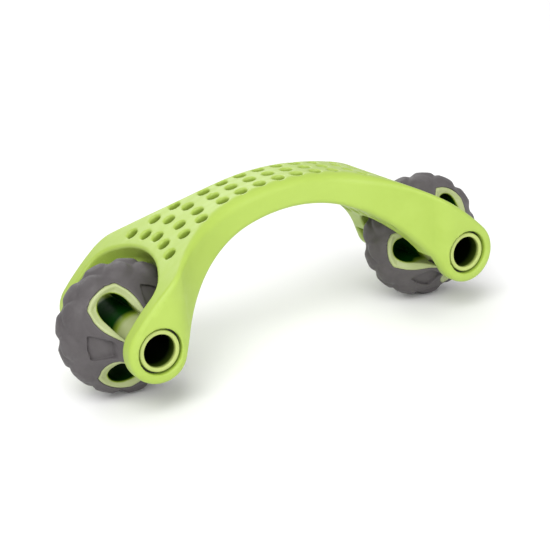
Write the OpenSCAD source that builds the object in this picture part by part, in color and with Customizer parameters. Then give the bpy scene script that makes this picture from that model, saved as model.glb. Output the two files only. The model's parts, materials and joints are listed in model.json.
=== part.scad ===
// Two-wheel foot massage roller: an arched palm grip with a forked arm pair at each end,
// and a free-spinning oblate massage wheel on a hollow axle in each fork.
// Frame: origin on the floor under the middle of the grip, X along the grip, Y along
// both axles, Z up. The wheels stand on the floor.

/* [Grip] */
// distance between the two wheel axles
axle_span = 173.5; // [170:0.5:180]
// radius of the arched top, seen from the side
arch_r = 132; // [130:1:140]
// thickness of the grip at its middle
grip_t = 14.5; // [12:0.5:17]
// half-width of the grip at its middle
grip_half_w = 16.5; // [14:0.5:19]
// half-width over the outer faces of the arms
fork_half_w = 41.2; // [41:0.1:42]
// half-distance between the inner faces of the arms
fork_gap_half = 32.8; // [32.8:0.1:33.2]
// outer radius of the round lug that holds each axle
lug_r = 15.6; // [14.5:0.1:17]
// radius of the bore in each lug
lug_bore_r = 11; // [11:0.1:11.6]

/* [Grip perforations] */
// radius of each round hole through the grip
perf_r = 3.25; // [2.5:0.05:3.6]
// spacing of the straight hole rows, along the arch
perf_pitch = 10.5; // [9.5:0.1:10.8]
// spacing of the three holes across each straight row
perf_cross = 9.63; // [9:0.01:10]

/* [Wheels] */
// radius of the wheel over its round studs
wheel_r = 32.4; // [31.8:0.1:32.8]
// radius of the wheel between its studs
wheel_body_r = 31; // [30.6:0.1:31.4]
// radius of the rounded rim of the wheel's section
rim_arc_r = 16; // [15.5:0.1:16.5]
// half-width of the wheel body along its axle
wheel_half_w = 24; // [23.6:0.1:24.4]
// thickness of the soft tread
tread_t = 2.2; // [1.8:0.1:2.6]
// wall of the hollow core
core_wall = 2.4; // [2:0.1:3]
// number of studs in each of the two staggered rows
stud_count = 12; // [10:1:12]
// radius of a stud
stud_r = 5.5; // [4.8:0.1:5.7]
// distance of a stud row from the wheel's middle plane
stud_y = 4.2; // [3.8:0.1:5]
// height of a stud above the wheel between studs
stud_h = 1.6; // [1.2:0.1:1.8]

/* [Wheel windows] */
// number of tunnels through a wheel
window_count = 3; // [3:1:3]
// distance from the axle to the middle of a tunnel's round outer end
tunnel_pos = 17.2; // [17:0.1:17.4]
// radius of a tunnel's round outer end
tunnel_r = 7.2; // [7:0.1:7.3]
// radius of the window frame's round inner end
window_r = 11; // [10.8:0.1:11.2]
// outer reach of the window frame from the axle
window_reach = 27.6; // [27.4:0.1:27.8]
// depth of the sloped dish round a tunnel mouth
dish_depth = 2.6; // [2:0.1:3]
// depth of the shallow panel between two windows
panel_depth = 1.2; // [0.8:0.1:1.5]

/* [Axle parts] */
// outer radius of the axle tube
tube_r = 9.95; // [9.95:0.01:9.97]
// inner radius of the axle tube
tube_bore_r = 7.86; // [7.5:0.01:8]
// half-length of the axle tube
tube_half_l = 39.9; // [39:0.1:40.5]
// outer radius of the hub nose on each core half
hub_r = 11.2; // [11.1:0.05:11.3]
// radius of the tread's collar where it ends beside the washer
collar_r = 12.8; // [12.4:0.1:13.4]
// radius of the tread's collar where it leaves the wheel's side
collar_base_r = 16.4; // [15.6:0.1:17]
// outer radius of the thrust washers
washer_r = 14; // [13:0.1:15]
// thickness of the thrust washers
washer_t = 1.2; // [1:0.1:1.4]
// running gap between a washer and its arm
side_gap = 0.3; // [0.3:0.05:0.4]
// running gap between the axle tube and its bush
bush_gap = 0.05; // [0.03:0.01:0.08]
// length of each bush along the axle
bush_l = 4.4; // [3.5:0.1:6]

/* [Hidden] */
$fn = 96;
eps = 0.01;
grip_green = [0.76, 0.86, 0.43];
core_green = [0.72, 0.80, 0.45];
tread_grey = [0.40, 0.39, 0.39];
nylon_black = [0.10, 0.12, 0.08];
steel = [0.70, 0.71, 0.72];

axle_x = axle_span / 2;
axle_z = wheel_r;
// the arched top touches each lug circle from inside
arch_drop = sqrt(pow(arch_r - lug_r, 2) - axle_x * axle_x);
arch_cz = axle_z - arch_drop;
arch_top = arch_cz + arch_r;
// the underside of the arch is the circle that touches both lugs from outside
under_top = arch_top - grip_t - axle_z;
under_dz = (axle_x * axle_x - pow(under_top + lug_r, 2)) / (2 * (under_top + lug_r));
under_r = under_top + under_dz;
under_cz = axle_z - under_dz;
// plan flare from the narrow grip to the wide forks
flare_start = 20;
flare_r = 70;
flare_cy = grip_half_w + flare_r;
shoulder_r = 15;
shoulder_cy = fork_half_w - shoulder_r;
shoulder_x = flare_start + sqrt(pow(flare_r + shoulder_r, 2) - pow(flare_cy - shoulder_cy, 2));
flare_k = flare_r / (flare_r + shoulder_r);
meet_x = flare_start + (shoulder_x - flare_start) * flare_k;
meet_y = flare_cy - (flare_cy - shoulder_cy) * flare_k;
// open well over each wheel: its end wall stands square to the arch down to well_depth,
// its plan outline runs straight down, and a pocket of the wheel's own shape lies below
well_inner_x = 70.5;
well_tilt = asin(well_inner_x / arch_r);
well_wall_r = 45;
well_plan_r = 55;
well_depth = 10;
well_corner_r = 12;
well_corner_y = fork_gap_half - 0.4 - well_corner_r;
wheel_gap = 3.3;
hub_gap = 1.5;
// wheel section: a rounded rim arc and a flatter side arc that meet smoothly
rim_cx = wheel_body_r - rim_arc_r;
side_arc_r = (rim_cx * rim_cx + wheel_half_w * wheel_half_w - rim_arc_r * rim_arc_r)
  / (2 * (wheel_half_w - rim_arc_r));
side_cy = side_arc_r - wheel_half_w;
meet_sin = rim_cx / (side_arc_r - rim_arc_r);
stud_tilt = asin(stud_y / rim_arc_r);
stud_step = 360 / stud_count;
// height of the wheel's side over a given distance from its axle
function side_height(rho) = sqrt(side_arc_r * side_arc_r - rho * rho) - side_cy;
dish_tilt = asin(tunnel_pos / side_arc_r);
dish_top_r = tunnel_r + 1.8;
slot_half_w = tunnel_r - 0.6;
slot_start = 8;
window_cx = 17.8;
window_outer_r = 16.9;
nose_end = fork_gap_half - side_gap - washer_t;
collar_start = wheel_half_w - 5;
collar_end = nose_end - 0.4;
// half-depths of the stepped hollow inside the core
rim_pocket = 9 - core_wall;
side_pocket = 14 - core_wall;
hub_pocket = 17 - core_wall;
dowel_r = 1.5;
dowel_half_l = 5;
dowel_pos = 19.5;
spring_pin_r = 1;
spring_pin_y = 26;
spring_pin_in = tube_bore_r + 0.6;
// angle of the first window of each wheel
left_window = 0;
right_window = 180;

// the five hole positions of each fork end: distance along X, distance across
end_rows = [
  [45.5, 14],
  [42.7, 5],
  [56.1, 15.4],
  [53.15, 5.5],
  [66.9, 20.1],
  [64.4, 9.6],
  [62.8, 0],
];

// ---------- helpers ----------

// lays a flat X-Z drawing into the upright side plane, with the given half-width
module side_extrude(half_w) {
  rotate([90, 0, 0])
    translate([0, 0, -half_w])
      linear_extrude(height = 2 * half_w)
        children();
}

// cylinder whose axis is parallel to the axle, between two Y positions
module axle_cylinder(r, y0, y1) {
  translate([0, y0, 0])
    rotate([-90, 0, 0])
      cylinder(h = y1 - y0, r = r);
}

// ring whose axis is parallel to the axle
module axle_ring(r_out, r_in, y0, y1) {
  difference() {
    axle_cylinder(r_out, y0, y1);
    axle_cylinder(r_in, y0 - 1, y1 + 1);
  }
}

// repeats a part at one wheel, with that wheel's axle as the local origin
module at_wheel(side) {
  translate([side * axle_x, 0, axle_z])
    children();
}

// repeats a part round the axle, starting at a given angle from +X towards +Z
module around_axle(count, first) {
  for (k = [0 : count - 1])
    rotate([0, -(first + k * 360 / count), 0])
      children();
}

// ---------- grip ----------

module side_outline() {
  out_u = [axle_x, arch_drop] / (arch_r - lug_r);
  difference() {
    intersection() {
      translate([0, arch_cz])
        circle(r = arch_r);
      polygon([
        [-axle_x - 40 * out_u[0], axle_z + 40 * out_u[1]],
        [-axle_x, axle_z],
        [0, under_cz],
        [axle_x, axle_z],
        [axle_x + 40 * out_u[0], axle_z + 40 * out_u[1]],
        [axle_x + 40 * out_u[0], arch_top + 5],
        [-axle_x - 40 * out_u[0], arch_top + 5],
      ]);
    }
    translate([0, under_cz])
      circle(r = under_r);
  }
  for (s = [-1, 1])
    translate([s * axle_x, axle_z])
      circle(r = lug_r);
}

// area beside the grip that is cut away, drawn on the +Y side
module flare_cut() {
  translate([-flare_start, grip_half_w])
    square([2 * flare_start, flare_r]);
  for (s = [-1, 1]) {
    translate([s * flare_start, flare_cy])
      circle(r = flare_r);
    mirror([s < 0 ? 1 : 0, 0])
      difference() {
        translate([meet_x, meet_y])
          square([shoulder_x - meet_x, flare_r]);
        translate([shoulder_x, shoulder_cy])
          circle(r = shoulder_r);
      }
  }
}

// outline of the open well, with its inner end at the local origin and an end arc of radius r
module well_outline(r) {
  corner_x = r - sqrt(pow(r - well_corner_r, 2) - well_corner_y * well_corner_y);
  meet_half = well_corner_y * r / (r - well_corner_r);
  intersection() {
    translate([r, 0])
      circle(r = r);
    translate([-1, -meet_half])
      square([r, 2 * meet_half]);
  }
  for (s = [-1, 1])
    translate([corner_x, s * well_corner_y])
      circle(r = well_corner_r);
  translate([corner_x, -fork_gap_half])
    square([60, 2 * fork_gap_half]);
}

// hole along the arch's own radius
module perforation(along, across) {
  translate([0, across, arch_cz])
    rotate([0, along, 0])
      translate([0, 0, arch_r - 40])
        cylinder(h = 50, r = perf_r);
}

module perforations() {
  row_step = perf_pitch / arch_r * 180 / PI;
  for (i = [-3 : 3])
    for (j = [-1 : 1])
      perforation(i * row_step, j * perf_cross);
  for (p = end_rows)
    for (s = [-1, 1])
      for (t = p[1] > 0 ? [-1, 1] : [1])
        perforation(s * asin(p[0] / arch_r), t * p[1]);
}

module handle_frame() {
  color(grip_green)
    difference() {
      side_extrude(fork_half_w)
        side_outline();
      for (t = [0, 1])
        mirror([0, t, 0])
          linear_extrude(height = arch_top + 10)
            flare_cut();
      for (s = [0, 1])
        mirror([s, 0, 0]) {
          translate([well_inner_x, 0, arch_cz + sqrt(arch_r * arch_r - well_inner_x * well_inner_x)])
            rotate([0, well_tilt, 0])
              translate([0, 0, -well_depth])
                linear_extrude(height = 20)
                  well_outline(well_wall_r);
          translate([well_inner_x, 0, -1])
            linear_extrude(height = arch_top)
              well_outline(well_plan_r);
          at_wheel(1) {
            wheel_solid(wheel_gap);
            axle_cylinder(lug_r + hub_gap, -fork_gap_half, fork_gap_half);
            axle_cylinder(lug_bore_r, -fork_half_w - 1, fork_half_w + 1);
          }
        }
      perforations();
    }
}

// ---------- bushes ----------

module bush(side, end) {
  color(nylon_black)
    at_wheel(side)
      mirror([0, end < 0 ? 1 : 0, 0])
        axle_ring(lug_bore_r, tube_r + bush_gap, fork_gap_half, fork_gap_half + bush_l);
}

module bush_left_front() {
  bush(-1, -1);
}

module bush_left_rear() {
  bush(-1, 1);
}

module bush_right_front() {
  bush(1, -1);
}

module bush_right_rear() {
  bush(1, 1);
}

// ---------- wheel shape ----------

// solid of revolution: the wheel's outer skin moved outwards by grow
module wheel_solid(grow) {
  join_r = rim_cx + (rim_arc_r + grow) * meet_sin;
  rotate([90, 0, 0]) {
    rotate_extrude()
      intersection() {
        translate([rim_cx, 0])
          circle(r = rim_arc_r + grow);
        translate([0, -40])
          square([60, 80]);
      }
    intersection() {
      translate([0, 0, -side_cy])
        sphere(r = side_arc_r + grow);
      translate([0, 0, side_cy])
        sphere(r = side_arc_r + grow);
      cylinder(h = 80, r = join_r, center = true);
    }
  }
}

// envelope that caps the studs: the wheel's skin moved outwards, flat across the middle
module stud_envelope() {
  intersection() {
    wheel_solid(stud_h);
    axle_cylinder(wheel_r, -30, 30);
  }
}

// collar from the wheel's side to the thrust washer, made smaller by inset
module collar(inset) {
  for (t = [0, 1])
    mirror([0, t, 0])
      rotate([-90, 0, 0])
        translate([0, 0, collar_start])
          cylinder(h = collar_end - inset - collar_start, r1 = collar_base_r - inset, r2 = collar_r - inset);
}

// window frame outline, drawn with the axle at the origin and the window on +X
module window_outline() {
  intersection() {
    translate([window_reach - window_outer_r, 0])
      circle(r = window_outer_r);
    union() {
      translate([window_cx, 0])
        circle(r = window_r);
      polygon([
        [14, -window_r + 0.6],
        [20, -window_r + 0.1],
        [29, -window_r + 3.3],
        [29, window_r - 3.3],
        [20, window_r - 0.1],
        [14, window_r - 0.6],
      ]);
    }
  }
}

// tunnel outline: round outer end, straight sides that run in to the hub
module tunnel_outline(wall) {
  translate([tunnel_pos, 0])
    circle(r = tunnel_r + wall);
  translate([slot_start, -slot_half_w - wall])
    square([tunnel_pos - slot_start, 2 * (slot_half_w + wall)]);
}

// shallow panel outline between two windows
module panel_outline() {
  intersection() {
    difference() {
      circle(r = 24);
      circle(r = 14.5);
    }
    polygon([
      [10, 2.6],
      [26, 7.2],
      [26, -7.2],
      [10, -2.6],
    ]);
  }
}

module windows(first) {
  around_axle(window_count, first)
    rotate([90, 0, 0])
      linear_extrude(height = 60, center = true)
        window_outline();
}

module tread(side, first) {
  color(tread_grey)
    at_wheel(side)
      difference() {
        union() {
          wheel_solid(0);
          collar(0);
          intersection() {
            stud_envelope();
            for (s = [-1, 1])
              around_axle(stud_count, s < 0 ? 0 : stud_step / 2)
                translate([rim_cx, 0, 0])
                  rotate([0, 90, s * stud_tilt])
                    cylinder(h = 25, r = stud_r);
          }
        }
        wheel_solid(-tread_t);
        windows(first);
        axle_cylinder(hub_r, -40, 40);
        around_axle(window_count, first + 180 / window_count)
          for (t = [0, 1])
            mirror([0, t, 0])
              intersection() {
                rotate([90, 0, 0])
                  linear_extrude(height = 60)
                    panel_outline();
                difference() {
                  wheel_solid(5);
                  wheel_solid(-panel_depth);
                }
              }
      }
}

module left_tread() {
  tread(-1, left_window);
}

module right_tread() {
  tread(1, right_window);
}

// ---------- core ----------

module tunnel_mouths(first) {
  around_axle(window_count, first) {
    rotate([90, 0, 0])
      linear_extrude(height = 80, center = true)
        tunnel_outline(0);
    for (t = [0, 1])
      mirror([0, t, 0])
        translate([tunnel_pos, -side_height(tunnel_pos), 0])
          rotate([90, 0, dish_tilt])
            translate([0, 0, -dish_depth])
              cylinder(h = 2 * dish_depth, r1 = tunnel_r + 0.3, r2 = 2 * dish_top_r - tunnel_r);
  }
}

// full core, both halves together, with a stepped hollow between the tunnels
module core_body(first) {
  difference() {
    union() {
      difference() {
        union() {
          wheel_solid(-tread_t);
          intersection() {
            union() {
              wheel_solid(-0.1);
              collar(0.15);
            }
            windows(first);
          }
        }
        tunnel_mouths(first);
      }
      axle_cylinder(hub_r, -nose_end, nose_end);
    }
    difference() {
      union() {
        axle_ring(wheel_body_r - 6.3, hub_r + 1.6, -rim_pocket, rim_pocket);
        axle_ring(wheel_body_r - 9.8, hub_r + 1.6, -side_pocket, side_pocket);
        axle_ring(wheel_body_r - 14.6, hub_r + 1.6, -hub_pocket, hub_pocket);
      }
      around_axle(window_count, first)
        rotate([90, 0, 0])
          linear_extrude(height = 80, center = true)
            tunnel_outline(core_wall - 0.4);
      around_axle(window_count, first + 180 / window_count)
        translate([dowel_pos, 0, 0])
          axle_cylinder(dowel_r + core_wall - 0.4, -40, 40);
    }
    axle_cylinder(tube_r, -40, 40);
    dowels(first);
    spring_pins();
  }
}

module core_half(side, first, end) {
  color(core_green)
    at_wheel(side)
      intersection() {
        core_body(first);
        translate([-40, end < 0 ? -40 : 0, -40])
          cube([80, 40, 80]);
      }
}

module left_core_front() {
  core_half(-1, left_window, -1);
}

module left_core_rear() {
  core_half(-1, left_window, 1);
}

module right_core_front() {
  core_half(1, right_window, -1);
}

module right_core_rear() {
  core_half(1, right_window, 1);
}

// locating dowels across the joint of the two core halves
module dowels(first) {
  around_axle(window_count, first + 180 / window_count)
    translate([dowel_pos, 0, 0])
      axle_cylinder(dowel_r, -dowel_half_l, dowel_half_l);
}

module left_core_dowels() {
  color(nylon_black)
    at_wheel(-1)
      dowels(left_window);
}

module right_core_dowels() {
  color(nylon_black)
    at_wheel(1)
      dowels(right_window);
}

// ---------- axle ----------

// one radial pin in each hub nose locks the core to the axle tube
module spring_pins() {
  for (s = [-1, 1])
    translate([0, s * spring_pin_y, spring_pin_in])
      cylinder(h = hub_r - 0.4 - spring_pin_in, r = spring_pin_r);
}

module axle_tube(side) {
  color(core_green)
    at_wheel(side)
      difference() {
        axle_ring(tube_r, tube_bore_r, -tube_half_l, tube_half_l);
        spring_pins();
      }
}

module left_axle_tube() {
  axle_tube(-1);
}

module right_axle_tube() {
  axle_tube(1);
}

module left_spring_pins() {
  color(steel)
    at_wheel(-1)
      spring_pins();
}

module right_spring_pins() {
  color(steel)
    at_wheel(1)
      spring_pins();
}

module washer(side, end) {
  color(nylon_black)
    at_wheel(side)
      mirror([0, end < 0 ? 1 : 0, 0])
        axle_ring(washer_r, tube_r, nose_end, nose_end + washer_t);
}

module left_washer_front() {
  washer(-1, -1);
}

module left_washer_rear() {
  washer(-1, 1);
}

module right_washer_front() {
  washer(1, -1);
}

module right_washer_rear() {
  washer(1, 1);
}

// ---------- assembly ----------

handle_frame();
bush_left_front();
bush_left_rear();
bush_right_front();
bush_right_rear();
left_tread();
left_core_front();
left_core_rear();
left_core_dowels();
left_axle_tube();
left_spring_pins();
left_washer_front();
left_washer_rear();
right_tread();
right_core_front();
right_core_rear();
right_core_dowels();
right_axle_tube();
right_spring_pins();
right_washer_front();
right_washer_rear();
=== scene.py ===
import json
import math
import bpy
import numpy as np
from mathutils import Matrix, Vector


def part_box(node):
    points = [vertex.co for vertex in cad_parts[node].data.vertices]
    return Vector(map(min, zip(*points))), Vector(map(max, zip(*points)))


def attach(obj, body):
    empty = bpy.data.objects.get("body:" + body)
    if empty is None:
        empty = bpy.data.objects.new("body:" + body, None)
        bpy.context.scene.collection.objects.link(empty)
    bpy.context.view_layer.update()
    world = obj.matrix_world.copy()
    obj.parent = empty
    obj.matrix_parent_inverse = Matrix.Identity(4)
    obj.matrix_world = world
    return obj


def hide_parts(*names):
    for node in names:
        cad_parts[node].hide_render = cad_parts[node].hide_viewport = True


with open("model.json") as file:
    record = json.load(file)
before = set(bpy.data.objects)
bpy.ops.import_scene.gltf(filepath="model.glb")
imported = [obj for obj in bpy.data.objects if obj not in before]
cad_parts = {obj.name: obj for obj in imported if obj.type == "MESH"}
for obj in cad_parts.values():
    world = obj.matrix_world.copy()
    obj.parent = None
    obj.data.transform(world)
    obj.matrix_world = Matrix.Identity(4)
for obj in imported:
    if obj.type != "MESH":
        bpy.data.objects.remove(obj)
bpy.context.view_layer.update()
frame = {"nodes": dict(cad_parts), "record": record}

MM = 1000.0


# ---------- places and sizes, in millimetres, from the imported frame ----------

def box_mm(node):
    lo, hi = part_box(node)
    return np.array(lo) * MM, np.array(hi) * MM


frame_lo, frame_hi = box_mm("handle_frame")
tube_lo, tube_hi = box_mm("right_axle_tube")
wash_lo = box_mm("right_washer_rear")[0]
tread_lo, tread_hi = box_mm("right_tread")
AX = (tube_lo[0] + tube_hi[0]) / 2
AZ = (tube_lo[2] + tube_hi[2]) / 2
TUBE_R = (tube_hi[0] - tube_lo[0]) / 2
TUBE_L = tube_hi[1]
FORK_W = frame_hi[1]
LUG_R = frame_hi[0] - AX
TOP = frame_hi[2]
NOSE = wash_lo[1]
WHEEL_R = (tread_hi[2] - tread_lo[2]) / 2
BORE_R = frame["record"]["mounts"][0]["dims"]["r_mm"]

ARCH_R = 132.0
ARCH_CZ = TOP - ARCH_R
GRIP_T = 14.5
GRIP_W = 16.5
FORK_IN = 32.8
LUG_BORE = 11.0
under_top = TOP - GRIP_T - AZ
under_dz = (AX ** 2 - (under_top + LUG_R) ** 2) / (2 * (under_top + LUG_R))
UNDER_R = under_top + under_dz
UNDER_CZ = AZ - under_dz
FLARE_X, FLARE_R, SHOULDER_R = 20.0, 70.0, 15.0
FLARE_CY = GRIP_W + FLARE_R
SHOULDER_CY = FORK_W - SHOULDER_R
SHOULDER_X = FLARE_X + math.sqrt((FLARE_R + SHOULDER_R) ** 2 - (FLARE_CY - SHOULDER_CY) ** 2)
WELL_X = 70.5
WELL_TILT = math.asin(WELL_X / ARCH_R)
WELL_Z = ARCH_CZ + math.sqrt(ARCH_R ** 2 - WELL_X ** 2)
WELL_WALL_R, WELL_PLAN_R, WELL_CORNER, WELL_DEPTH = 45.0, 55.0, 12.0, 10.0
WHEEL_GAP = 3.3
PERF_R = 2.9
PERF_PITCH = math.degrees(10.5 / ARCH_R)
END_ROWS = [(45.5, 14), (42.7, 5), (56.1, 15.4), (53.15, 5.5), (66.9, 20.1), (64.4, 9.6), (62.8, 0)]
BODY_R, RIM_R, HALF_W = 31.0, 16.0, 24.0
RIM_CX = BODY_R - RIM_R
SIDE_R = (RIM_CX ** 2 + HALF_W ** 2 - RIM_R ** 2) / (2 * (HALF_W - RIM_R))
SIDE_CY = SIDE_R - HALF_W
TUNNEL_X, TUNNEL_R = 17.2, 7.2
HUB_R = 11.2
COLLAR_IN, COLLAR_OUT = 17.0, 13.4
STUD_R, STUD_Y, STUD_H = 5.5, 4.2, 1.6
TREAD_T = 2.2
TREAD_GAP = 0.04
HOLE_LIP = 0.9
COLLAR_FILLET = 5.0
STUD_ROUND = 2.4


# ---------- distance fields ----------

def rmax(a, b, r):
    """Overlap of two fields, with the edge between them rounded to radius r."""
    u = np.maximum(a + r, 0)
    v = np.maximum(b + r, 0)
    return np.minimum(-r, np.maximum(a, b)) + np.sqrt(u * u + v * v)


def rmin(a, b, r):
    return -rmax(-a, -b, r)


def cut(a, b, r):
    return rmax(a, -b, r)


def ramp(v, lo, hi):
    t = np.clip((v - lo) / (hi - lo), 0, 1)
    return t * t * (3 - 2 * t)


def arch_side(x, z):
    """Side view of the grip: arched band that runs into a round lug at each end."""
    out = np.hypot(x, z - ARCH_CZ) - ARCH_R
    under = UNDER_R - np.hypot(x, z - UNDER_CZ)
    ux, uz = AX / (ARCH_R - LUG_R), (AZ - ARCH_CZ) / (ARCH_R - LUG_R)
    vx, vz = AX / (UNDER_R + LUG_R), (AZ - UNDER_CZ) / (UNDER_R + LUG_R)
    side_a = (x - AX) * uz - (z - AZ) * ux
    side_b = (x - AX) * vz - (z - AZ) * vx
    band = np.maximum(np.maximum(out, under), np.maximum(side_a, side_b))
    lug = np.hypot(x - AX, z - AZ) - LUG_R
    return np.minimum(band, lug)


def plan_edge(x, y):
    """Distance past the grip's flared side in plan, for x and y above zero."""
    flare = FLARE_R - np.hypot(x - FLARE_X, y - FLARE_CY)
    shoulder = np.hypot(x - SHOULDER_X, y - SHOULDER_CY) - SHOULDER_R
    kx, ky = SHOULDER_X - FLARE_X, SHOULDER_CY - FLARE_CY
    k = FLARE_R / (FLARE_R + SHOULDER_R)
    mx, my = FLARE_X + kx * k, FLARE_CY + ky * k
    before = (x - mx) * -ky - (y - my) * -kx < 0
    d = np.where(x < FLARE_X, y - GRIP_W, np.where(before, flare, shoulder))
    return np.where(x > SHOULDER_X, y - FORK_W, d)


def well_plan(u, y, r):
    """Well outline with its inner end at u = 0: end arc, rounded corners, straight sides."""
    corner_y = FORK_IN - WELL_CORNER
    corner_x = r - math.sqrt((r - WELL_CORNER) ** 2 - corner_y ** 2)
    arc = np.hypot(u - r, y) - r
    corner = np.hypot(u - corner_x, y - corner_y) - WELL_CORNER
    on_corner = y * (r - corner_x) > corner_y * (r - u)
    d = np.where(u > corner_x, y - FORK_IN, np.where(on_corner, corner, arc))
    return np.where((u > corner_x) & (y < corner_y), np.minimum(y - FORK_IN, arc), d)


def well_field(x, y, z):
    """Open well over a wheel, with a pocket of the wheel's own shape below its end wall."""
    c, s = math.cos(WELL_TILT), math.sin(WELL_TILT)
    u = (x - WELL_X) * c - (z - WELL_Z) * s
    w = (x - WELL_X) * s + (z - WELL_Z) * c
    wall = rmax(well_plan(u, y, WELL_WALL_R), -(w + WELL_DEPTH), 2.0)
    wall = np.minimum(wall, well_plan(x - WELL_X, y, WELL_PLAN_R))
    rho = np.hypot(x - AX, z - AZ)
    pocket = rmin(wall, wheel_body(rho, y) - WHEEL_GAP, 3.0)
    return np.minimum(pocket, np.maximum(rho - (LUG_R + 1.5), y - FORK_IN))


def hole_axes():
    axes = [(i * PERF_PITCH, j * 9.63) for i in range(0, 4) for j in (0, 1)]
    axes += [(math.degrees(math.asin(a / ARCH_R)), b) for a, b in END_ROWS]
    return axes


def hole_field(x, y, z, angle, across):
    a = math.radians(angle)
    side = x * math.cos(a) - (z - ARCH_CZ) * math.sin(a)
    return np.hypot(side, y - across) - PERF_R


def all_holes(x, y, z):
    holes = np.full(np.shape(x), 50.0)
    for angle, across in hole_axes():
        holes = np.minimum(holes, hole_field(x, y, z, angle, across))
    return holes


def grip_field(x, y, z):
    x, y = np.abs(x), np.abs(y)
    above = ramp(np.hypot(x, z - UNDER_CZ) - UNDER_R, 3.0, 8.0)
    edge = 2.4 + (2.8 - 3.0 * ramp(x, 34, 74)) * above
    d = rmax(arch_side(x, z), plan_edge(x, y), edge)
    d = cut(d, well_field(x, y, z), 1.5)
    d = cut(d, np.hypot(x - AX, z - AZ) - LUG_BORE, 0.4)
    holes = all_holes(x, y, z)
    return cut(d, holes, HOLE_LIP)


def wheel_body(rho, y):
    """Wheel skin: rounded rim arc and flatter side arc."""
    y = np.abs(y)
    rim = np.hypot(rho - RIM_CX, y) - RIM_R
    side = np.hypot(rho, y + SIDE_CY) - SIDE_R
    on_rim = rho * SIDE_CY > RIM_CX * (y + SIDE_CY)
    return np.where(on_rim, rim, side)


def fold(x, z, count, first):
    """Turns a point about the axle into the nearest of count equal sectors."""
    step = 2 * math.pi / count
    a = np.arctan2(z, x) - first
    a = a - step * np.round(a / step)
    rho = np.hypot(x, z)
    return rho * np.cos(a), rho * np.sin(a), rho


def stud_field(x, y, z, body):
    """Two staggered rows of low round studs, flat-topped where they touch the floor."""
    tilt = math.asin(STUD_Y / RIM_R)
    c, s = math.cos(tilt), math.sin(tilt)
    out = None
    cap = np.maximum(body - STUD_H, np.hypot(x, z) - WHEEL_R)
    for row, first in ((-1, 0.0), (1, math.pi / 12)):
        u, v, _ = fold(x, z, 12, first)
        across = -(u - RIM_CX) * row * s + y * c
        side = np.hypot(across, v) - STUD_R
        d = rmax(side, cap, STUD_ROUND)
        out = d if out is None else np.minimum(out, d)
    return out


def collar_field(rho, y):
    """Soft collar that narrows from the wheel's side to the washer."""
    y = np.abs(y)
    y0, y1 = HALF_W - 5.0, NOSE - 0.4 - 0.05
    k = (COLLAR_OUT - COLLAR_IN) / (y1 - y0)
    cone = (rho - COLLAR_IN - k * (y - y0)) / math.hypot(1, k)
    return rmax(cone, y - y1, 0.6)


def window_shape(u, v):
    """Egg-shaped window outline, round towards the axle, with two soft outer corners."""
    v = np.abs(v)
    side = np.maximum(v - 10.9 - 0.083 * (u - 20), v - 10.9 + 0.356 * (u - 20)) / 1.05
    egg = np.minimum(np.hypot(u - 17.8, v) - 11.0, np.maximum(side, 14 - u))
    return rmax(egg, np.hypot(u - 10.7, v) - 16.9, 0.25)


def tunnel_shape(u, v):
    """Tunnel outline: round outer end and straight sides that run in to the hub."""
    return np.where(u > TUNNEL_X, np.hypot(u - TUNNEL_X, v), np.abs(v)) - TUNNEL_R


def panel_shape(u, v):
    rho = np.hypot(u, v)
    wide = np.abs(v) - (2.6 + (u - 10) * 0.2875)
    return rmax(rmax(wide * 0.96, rho - 24.0, 0.9), 14.8 - rho, 0.9)


def tread_field(x, y, z):
    rho = np.hypot(x, z)
    body = wheel_body(rho, y)
    d = rmin(body, stud_field(x, y, z, body), STUD_ROUND)
    d = np.maximum(d, np.maximum(body - STUD_H, rho - WHEEL_R))
    d = rmin(d, collar_field(rho, y), COLLAR_FILLET)
    u, v, _ = fold(x, z, 3, math.pi)
    d = cut(d, window_shape(u, v), 0.35)
    u, v, _ = fold(x, z, 3, 0.0)
    floor = 0.35 + 0.95 * ramp(np.hypot(u, v), 15, 23)
    pocket = np.maximum(panel_shape(u, v), -(body + floor))
    d = cut(d, pocket, 0.25)
    d = np.maximum(d, -(body + TREAD_T))
    return np.maximum(d, HUB_R + 0.05 - rho)


def core_field(x, y, z):
    rho = np.hypot(x, z)
    body = wheel_body(rho, y)
    u, v, _ = fold(x, z, 3, math.pi)
    outline = window_shape(u, v)
    skin = rmin(body, collar_field(rho, y), COLLAR_FILLET)
    frame_block = rmax(outline + TREAD_GAP, skin + 0.15, 0.35)
    d = np.minimum(body + TREAD_T, frame_block)
    inset = np.clip(-(outline + 0.7), 0, 8)
    depth = 2.7 * (ramp(inset, -1.0, 3.6) - ramp(np.float32(0.0), -1.0, 3.6))
    dish = np.maximum(-(skin + 0.15 + depth), outline + 0.7)
    d = cut(d, dish, 0.3)
    d = cut(d, tunnel_shape(u, v), 0.45)
    hub = rmax(rho - HUB_R, np.abs(y) - NOSE, 0.4)
    d = rmin(d, hub, 0.5)
    return np.maximum(d, TUBE_R - rho)


# ---------- meshing ----------

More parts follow.
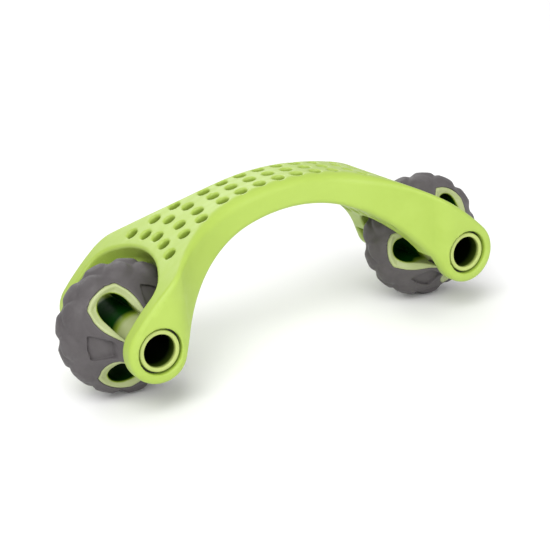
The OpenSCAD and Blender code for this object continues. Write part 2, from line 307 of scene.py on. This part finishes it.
def surface_net(field, lo, hi, step, symmetric=False):
    """Closed quad mesh of the zero level of a distance field."""
    axes = []
    for a, b in zip(lo, hi):
        n = int(math.ceil((b - a) / 2 / step)) + 1
        half = (np.arange(n) + 0.5) * step
        mid = (a + b) / 2
        axes.append(np.concatenate([mid - half[::-1], mid + half]).astype(np.float32))
    if symmetric:
        qx, qy = axes[0][len(axes[0]) // 2:], axes[1][len(axes[1]) // 2:]
        X, Y, Z = np.meshgrid(qx, qy, axes[2], indexing="ij")
        q = field(X, Y, Z).astype(np.float32)
        q = np.concatenate([q[:, ::-1], q], axis=1)
        vals = np.concatenate([q[::-1], q], axis=0)
    else:
        X, Y, Z = np.meshgrid(*axes, indexing="ij")
        vals = field(X, Y, Z).astype(np.float32)
    inside = vals < 0
    count = np.zeros([n - 1 for n in vals.shape], np.int8)
    for i in (0, 1):
        for j in (0, 1):
            for k in (0, 1):
                count += inside[i:i + count.shape[0], j:j + count.shape[1], k:k + count.shape[2]]
    cells = np.argwhere((count > 0) & (count < 8))
    index = np.full(count.shape, -1, np.int32)
    index[tuple(cells.T)] = np.arange(len(cells))
    total = np.zeros((len(cells), 3))
    hits = np.zeros(len(cells))
    corner = {}
    for c in [(i, j, k) for i in (0, 1) for j in (0, 1) for k in (0, 1)]:
        corner[c] = vals[tuple((cells + c).T)].astype(np.float64)
    for c in corner:
        for ax in range(3):
            if c[ax]:
                continue
            e = list(c)
            e[ax] = 1
            a, b = corner[c], corner[tuple(e)]
            hit = (a < 0) != (b < 0)
            t = np.where(hit, a / np.where(hit, a - b, 1), 0)
            p = np.tile(np.array(c, float), (len(cells), 1))
            p[:, ax] = t
            total[hit] += p[hit]
            hits[hit] += 1
    pts = cells + total / hits[:, None]
    origin = np.array([a[0] for a in axes], float)
    pts = origin + pts * step
    faces = []
    for ax in range(3):
        o1, o2 = (ax + 1) % 3, (ax + 2) % 3
        a = np.moveaxis(inside, ax, 0)[:-1]
        b = np.moveaxis(inside, ax, 0)[1:]
        flips = np.argwhere(np.moveaxis(a != b, 0, ax))
        keep = (flips[:, o1] > 0) & (flips[:, o2] > 0)
        flips = flips[keep]
        flips = flips[np.all(flips < index.shape, axis=1)]
        d1, d2 = np.zeros(3, int), np.zeros(3, int)
        d1[o1], d2[o2] = 1, 1
        quad = np.stack([
            index[tuple((flips - d1 - d2).T)],
            index[tuple((flips - d2).T)],
            index[tuple(flips.T)],
            index[tuple((flips - d1).T)],
        ], axis=1)
        back = ~inside[tuple(flips.T)]
        quad[back] = quad[back][:, ::-1]
        faces.append(quad)
    faces = np.concatenate(faces)
    faces = faces[np.all(faces >= 0, axis=1)]
    for _ in range(3):
        d, g = slope(field, pts)
        move = np.clip(d, -0.4 * step, 0.4 * step)
        pts = pts - g * move[:, None]
    return pts, faces


def slope(field, p):
    e = 0.02
    x, y, z = p.T
    d = field(x, y, z)
    g = np.stack([
        field(x + e, y, z) - field(x - e, y, z),
        field(x, y + e, z) - field(x, y - e, z),
        field(x, y, z + e) - field(x, y, z - e),
    ], axis=1) / (2 * e)
    n = np.linalg.norm(g, axis=1)
    g = g / np.maximum(n, 1e-6)[:, None]
    return d / np.maximum(n, 0.3), g


def add_mesh(name, pts, faces, mat, offset=(0, 0, 0), shade=None):
    """Mesh object from millimetre points; shade is the amount of painted shade on the deep inner walls, 0
    to 1.
    """
    mesh = bpy.data.meshes.new(name)
    mesh.from_pydata(((np.asarray(pts) + offset) / MM).tolist(), [], np.asarray(faces).tolist())
    mesh.validate()
    mesh.polygons.foreach_set("use_smooth", [True] * len(mesh.polygons))
    if shade is not None:
        marks = mesh.attributes.new("shade", "FLOAT", "POINT")
        marks.data.foreach_set("value", np.asarray(shade, np.float32))
    mesh.update()
    obj = bpy.data.objects.new(name, mesh)
    bpy.context.scene.collection.objects.link(obj)
    obj.data.materials.append(mat)
    return obj


def lathe(profile, count=96):
    """Closed ring section turned about the Y axis; profile holds (radius, y) pairs."""
    n = len(profile)
    pts, faces = [], []
    for k in range(count):
        a = 2 * math.pi * k / count
        for r, y in profile:
            pts.append((r * math.cos(a), y, r * math.sin(a)))
    for k in range(count):
        m = (k + 1) % count
        for i in range(n):
            j = (i + 1) % n
            faces.append((k * n + i, m * n + i, m * n + j, k * n + j))
    return np.array(pts), np.array(faces)


# ---------- materials ----------

def new_material(name):
    mat = bpy.data.materials.new(name)
    mat.use_nodes = True
    nodes = mat.node_tree.nodes
    nodes.clear()
    return mat, nodes, mat.node_tree.links


def plastic(name, light, dark, rough, grain, bump, mottle, stretch=(1, 1, 1), spec=0.5, wear=0.0,
            painted_shade=None):
    """Moulded plastic: mottled colour, uneven gloss, fine grain, slightly paler worn edges, and painted
    shade on walls marked by the shade attribute.
    """
    mat, nodes, links = new_material(name)
    out = nodes.new("ShaderNodeOutputMaterial")
    bsdf = nodes.new("ShaderNodeBsdfPrincipled")
    links.new(bsdf.outputs[0], out.inputs[0])
    coord = nodes.new("ShaderNodeTexCoord")
    mapping = nodes.new("ShaderNodeMapping")
    mapping.inputs["Scale"].default_value = stretch
    links.new(coord.outputs["Object"], mapping.inputs[0])

    def noise(scale, detail, rough_in, dist=0.0):
        n = nodes.new("ShaderNodeTexNoise")
        n.inputs["Scale"].default_value = scale
        n.inputs["Detail"].default_value = detail
        n.inputs["Roughness"].default_value = rough_in
        n.inputs["Distortion"].default_value = dist
        links.new(mapping.outputs[0], n.inputs["Vector"])
        return n

    broad = noise(mottle, 5.0, 0.6, 0.4)
    fine = noise(grain, 3.0, 0.6)
    mid = noise(mottle * 5, 3.0, 0.5)
    mix = nodes.new("ShaderNodeMixRGB")
    mix.inputs[1].default_value = (*dark, 1)
    mix.inputs[2].default_value = (*light, 1)
    spread = nodes.new("ShaderNodeMapRange")
    spread.inputs["From Min"].default_value = 0.32
    spread.inputs["From Max"].default_value = 0.68
    links.new(broad.outputs[0], spread.inputs["Value"])
    links.new(spread.outputs[0], mix.inputs[0])
    colour = mix.outputs[0]
    if wear:
        geo = nodes.new("ShaderNodeNewGeometry")
        edge = nodes.new("ShaderNodeMapRange")
        edge.inputs["From Min"].default_value = 0.52
        edge.inputs["From Max"].default_value = 0.62
        edge.inputs["To Max"].default_value = wear
        links.new(geo.outputs["Pointiness"], edge.inputs["Value"])
        rub = nodes.new("ShaderNodeMath")
        rub.operation = "MULTIPLY"
        links.new(edge.outputs[0], rub.inputs[0])
        links.new(mid.outputs[0], rub.inputs[1])
        paler = nodes.new("ShaderNodeMixRGB")
        paler.inputs[2].default_value = (*[min(1.0, c * 1.25 + 0.03) for c in light], 1)
        links.new(rub.outputs[0], paler.inputs[0])
        links.new(colour, paler.inputs[1])
        colour = paler.outputs[0]
    # painted shade: walls marked by the shade attribute mix to two darker tones and lose most of their
    # specular
    if painted_shade:
        mark = nodes.new("ShaderNodeAttribute")
        mark.attribute_name = "shade"
        for tone, lo, hi in ((painted_shade[0], 0.0, 0.45), (painted_shade[1], 0.35, 0.95)):
            part = nodes.new("ShaderNodeMapRange")
            part.inputs["From Min"].default_value = lo
            part.inputs["From Max"].default_value = hi
            links.new(mark.outputs["Fac"], part.inputs["Value"])
            inner = nodes.new("ShaderNodeMixRGB")
            inner.inputs[2].default_value = (*tone, 1)
            links.new(part.outputs[0], inner.inputs[0])
            links.new(colour, inner.inputs[1])
            colour = inner.outputs[0]
        dull = nodes.new("ShaderNodeMath")
        dull.operation = "MULTIPLY_ADD"
        dull.inputs[1].default_value = -0.98 * spec
        dull.inputs[2].default_value = spec
        links.new(mark.outputs["Fac"], dull.inputs[0])
        links.new(dull.outputs[0], bsdf.inputs["Specular IOR Level"])
    links.new(colour, bsdf.inputs["Base Color"])
    gloss = nodes.new("ShaderNodeMapRange")
    gloss.inputs["From Min"].default_value = 0.3
    gloss.inputs["From Max"].default_value = 0.7
    gloss.inputs["To Min"].default_value = rough - 0.05
    gloss.inputs["To Max"].default_value = rough + 0.07
    links.new(mid.outputs[0], gloss.inputs["Value"])
    links.new(gloss.outputs[0], bsdf.inputs["Roughness"])
    height = nodes.new("ShaderNodeMath")
    height.operation = "ADD"
    links.new(fine.outputs[0], height.inputs[0])
    links.new(mid.outputs[0], height.inputs[1])
    b = nodes.new("ShaderNodeBump")
    b.inputs["Strength"].default_value = bump
    b.inputs["Distance"].default_value = 0.0004
    links.new(height.outputs[0], b.inputs["Height"])
    links.new(b.outputs[0], bsdf.inputs["Normal"])
    bsdf.inputs["Specular IOR Level"].default_value = spec
    return mat


def srgb(r, g, b):
    out = []
    for c in (r, g, b):
        c = c / 255
        out.append(c / 12.92 if c <= 0.04045 else ((c + 0.055) / 1.055) ** 2.4)
    return tuple(out)


# The second pair of tones given to each green below is painted shade for grip holes, core tunnels and
# sleeve bore.
grip_mat = plastic("grip_green", srgb(164, 189, 79), srgb(158, 183, 72), 0.42, grain=1400, bump=0.05,
                   mottle=45, stretch=(0.35, 1.6, 1.0), wear=0.25,
                   painted_shade=(srgb(120, 146, 44), srgb(52, 66, 24)))
core_mat = plastic("core_green", srgb(166, 176, 124), srgb(158, 168, 112), 0.38, grain=1600, bump=0.04,
                   mottle=70, wear=0.3, painted_shade=(srgb(128, 150, 36), srgb(8, 52, 6)))
tube_mat = plastic("tube_green", srgb(176, 190, 108), srgb(168, 182, 98), 0.4, grain=1600, bump=0.04,
                   mottle=80, wear=0.3, painted_shade=(srgb(60, 78, 16), srgb(3, 10, 0)))
tread_mat = plastic("tread_grey", srgb(88, 84, 85), srgb(77, 73, 74), 0.55, grain=2600, bump=0.12,
                    mottle=90, spec=0.35, wear=0.35)
nylon_mat = plastic("dark_nylon", srgb(18, 22, 12), srgb(12, 16, 8), 0.5, grain=1800, bump=0.08, mottle=120)
steel_mat = plastic("pin_steel", (0.55, 0.56, 0.57), (0.42, 0.43, 0.44), 0.32, grain=2400, bump=0.05,
                    mottle=150)
for node in steel_mat.node_tree.nodes:
    if node.type == "BSDF_PRINCIPLED":
        node.inputs["Metallic"].default_value = 1.0


# ---------- pieces ----------

for node, obj in frame["nodes"].items():
    if "bush" in node or "washer" in node or "dowels" in node:
        mat = nylon_mat
    elif "pins" in node:
        mat = steel_mat
    elif "tread" in node:
        mat = tread_mat
    elif node == "handle_frame":
        mat = grip_mat
    else:
        mat = core_mat
    obj.data.materials.clear()
    obj.data.materials.append(mat)

step_grip = 0.8
step_wheel = 0.55

pts, faces = surface_net(grip_field, frame_lo - 2, frame_hi + 2, step_grip, symmetric=True)
gx, gy, gz = np.abs(pts[:, 0]), np.abs(pts[:, 1]), pts[:, 2]
# painted shade down the walls of the perforations, fading out near the top and under surfaces
hole_shade = 1 - ramp(all_holes(gx, gy, gz), 0.15, 0.7)
hole_shade = hole_shade * ramp(ARCH_R - np.hypot(gx, gz - ARCH_CZ), 1.2, 7.0)
hole_shade = hole_shade * ramp(np.hypot(gx, gz - UNDER_CZ) - UNDER_R, 3.0, 6.5)
grip = add_mesh("grip", pts, faces, grip_mat, shade=hole_shade)
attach(grip, "frame")
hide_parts("handle_frame")

wheel_box = np.array([WHEEL_R + 1.5, NOSE + 1.5, WHEEL_R + 1.5])
tread_pts, tread_faces = surface_net(tread_field, -wheel_box, wheel_box, step_wheel)
core_box = np.array([BODY_R + 1.5, NOSE + 1.5, BODY_R + 1.5])
core_pts, core_faces = surface_net(core_field, -core_box, core_box, step_wheel)

edge = [(0.0, 0.7), (0.08, 0.35), (0.22, 0.16), (0.42, 0.05), (0.7, 0.0)]
tube_profile = [(TUBE_R - a, b - TUBE_L) for a, b in edge]
tube_profile += [(BORE_R + a, b - TUBE_L) for a, b in reversed(edge)]
tube_profile += [(BORE_R, y) for y in (3 - TUBE_L, 8 - TUBE_L, 0.0, TUBE_L - 8, TUBE_L - 3)]
tube_profile += [(BORE_R + a, TUBE_L - b) for a, b in edge]
tube_profile += [(TUBE_R - a, TUBE_L - b) for a, b in reversed(edge)]
tube_pts, tube_faces = lathe(tube_profile, 128)


def side_height(rho):
    return np.sqrt(SIDE_R ** 2 - rho ** 2) - SIDE_CY


def inner_shade(x, y, z):
    """How much painted shade a point of the core gets, 0 to 1, by how deep it lies inside one of its
    tunnels.
    """
    u, v, rho = fold(x, z, 3, math.pi)
    hub = ramp(-u, -17, -11)
    depth = side_height(rho) - 1.5 - 1.5 * hub - np.abs(y)
    return (1 - ramp(tunnel_shape(u, v), 0.3, 0.9)) * np.clip(depth / (3.5 + 5.0 * hub), 0, 1)


# painted shade in the core's tunnels
core_shade = inner_shade(*core_pts.T)
# painted shade along the sleeve's bore, darker away from both ends
tube_rho = np.hypot(tube_pts[:, 0], tube_pts[:, 2])
tube_shade = (tube_rho < BORE_R + 0.06) * ramp(TUBE_L - np.abs(tube_pts[:, 1]), 0.3, 5.0)

for side, name in ((-1, "left"), (1, "right")):
    at = np.array([side * AX, 0, AZ])
    for part, p, f, mat, replaced, slot, shade in (
        ("studded_tread", tread_pts, tread_faces, tread_mat, ("tread",), "tread", None),
        ("windowed_core", core_pts, core_faces, core_mat, ("core_front", "core_rear"), "core", core_shade),
        ("axle_sleeve", tube_pts, tube_faces, tube_mat, ("axle_tube",), "core", tube_shade),
    ):
        q, g = p.copy(), f
        if side < 0:
            q[:, 0] = -q[:, 0]
            g = f[:, ::-1]
        piece = add_mesh(name + "_" + part, q, g, mat, at, shade)
        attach(piece, name + "_roller")
        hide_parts(*[name + "_" + n for n in replaced])


# ---------- stage, light and camera ----------

floor_mesh = bpy.data.meshes.new("floor")
span = 3.0
corners = [(-span, -span, 0), (span, -span, 0), (span, span, 0), (-span, span, 0)]
floor_mesh.from_pydata(corners, [], [(0, 1, 2, 3)])
floor = bpy.data.objects.new("floor", floor_mesh)
bpy.context.scene.collection.objects.link(floor)
floor_mat, nodes, links = new_material("pale_floor")
fo = nodes.new("ShaderNodeOutputMaterial")
fb = nodes.new("ShaderNodeBsdfPrincipled")
fb.inputs["Base Color"].default_value = (0.93, 0.93, 0.93, 1)
fb.inputs["Roughness"].default_value = 0.9
fb.inputs["Specular IOR Level"].default_value = 0.1
links.new(fb.outputs[0], fo.inputs[0])
floor_mesh.materials.append(floor_mat)

world = bpy.data.worlds.new("studio")
bpy.context.scene.world = world
world.use_nodes = True
bg = world.node_tree.nodes.get("Background") or world.node_tree.nodes.new("ShaderNodeBackground")
bg.inputs[0].default_value = (1, 1, 1, 1)
bg.inputs[1].default_value = 0.68


def area(name, at, aim, size, power):
    data = bpy.data.lights.new(name, "AREA")
    data.shape = "RECTANGLE"
    data.size, data.size_y = size
    data.energy = power
    obj = bpy.data.objects.new(name, data)
    obj.location = at
    obj.rotation_euler = (Vector(aim) - Vector(at)).to_track_quat("-Z", "Y").to_euler()
    bpy.context.scene.collection.objects.link(obj)


centre = (0, 0, 0.045)
area("key", (-0.5, -0.55, 0.95), centre, (0.8, 0.7), 8.2)
area("fill", (0.1, -1.15, 0.4), centre, (0.9, 0.6), 4.6)
area("rim", (0.4, 2.2, 1.5), centre, (2.2, 1.5), 25.0)

right = Vector((0.85343741, -0.51118911, -0.10163796))
up = Vector((0.26429455, 0.25638673, 0.9297388))
forward = Vector((0.44921373, 0.82033623, -0.35391453))
cam_data = bpy.data.cameras.new("camera")
cam_data.sensor_width = 36.0
cam_data.lens = 92.30
cam_data.clip_start = 0.01
cam = bpy.data.objects.new("camera", cam_data)
turn = Matrix((right, up, -forward)).transposed().to_4x4()
cam.matrix_world = Matrix.Translation(Vector((-0.31802, -0.57664, 0.25068 + AZ / MM))) @ turn
bpy.context.scene.collection.objects.link(cam)
bpy.context.scene.camera = cam
bpy.context.scene.view_settings.view_transform = "Standard"
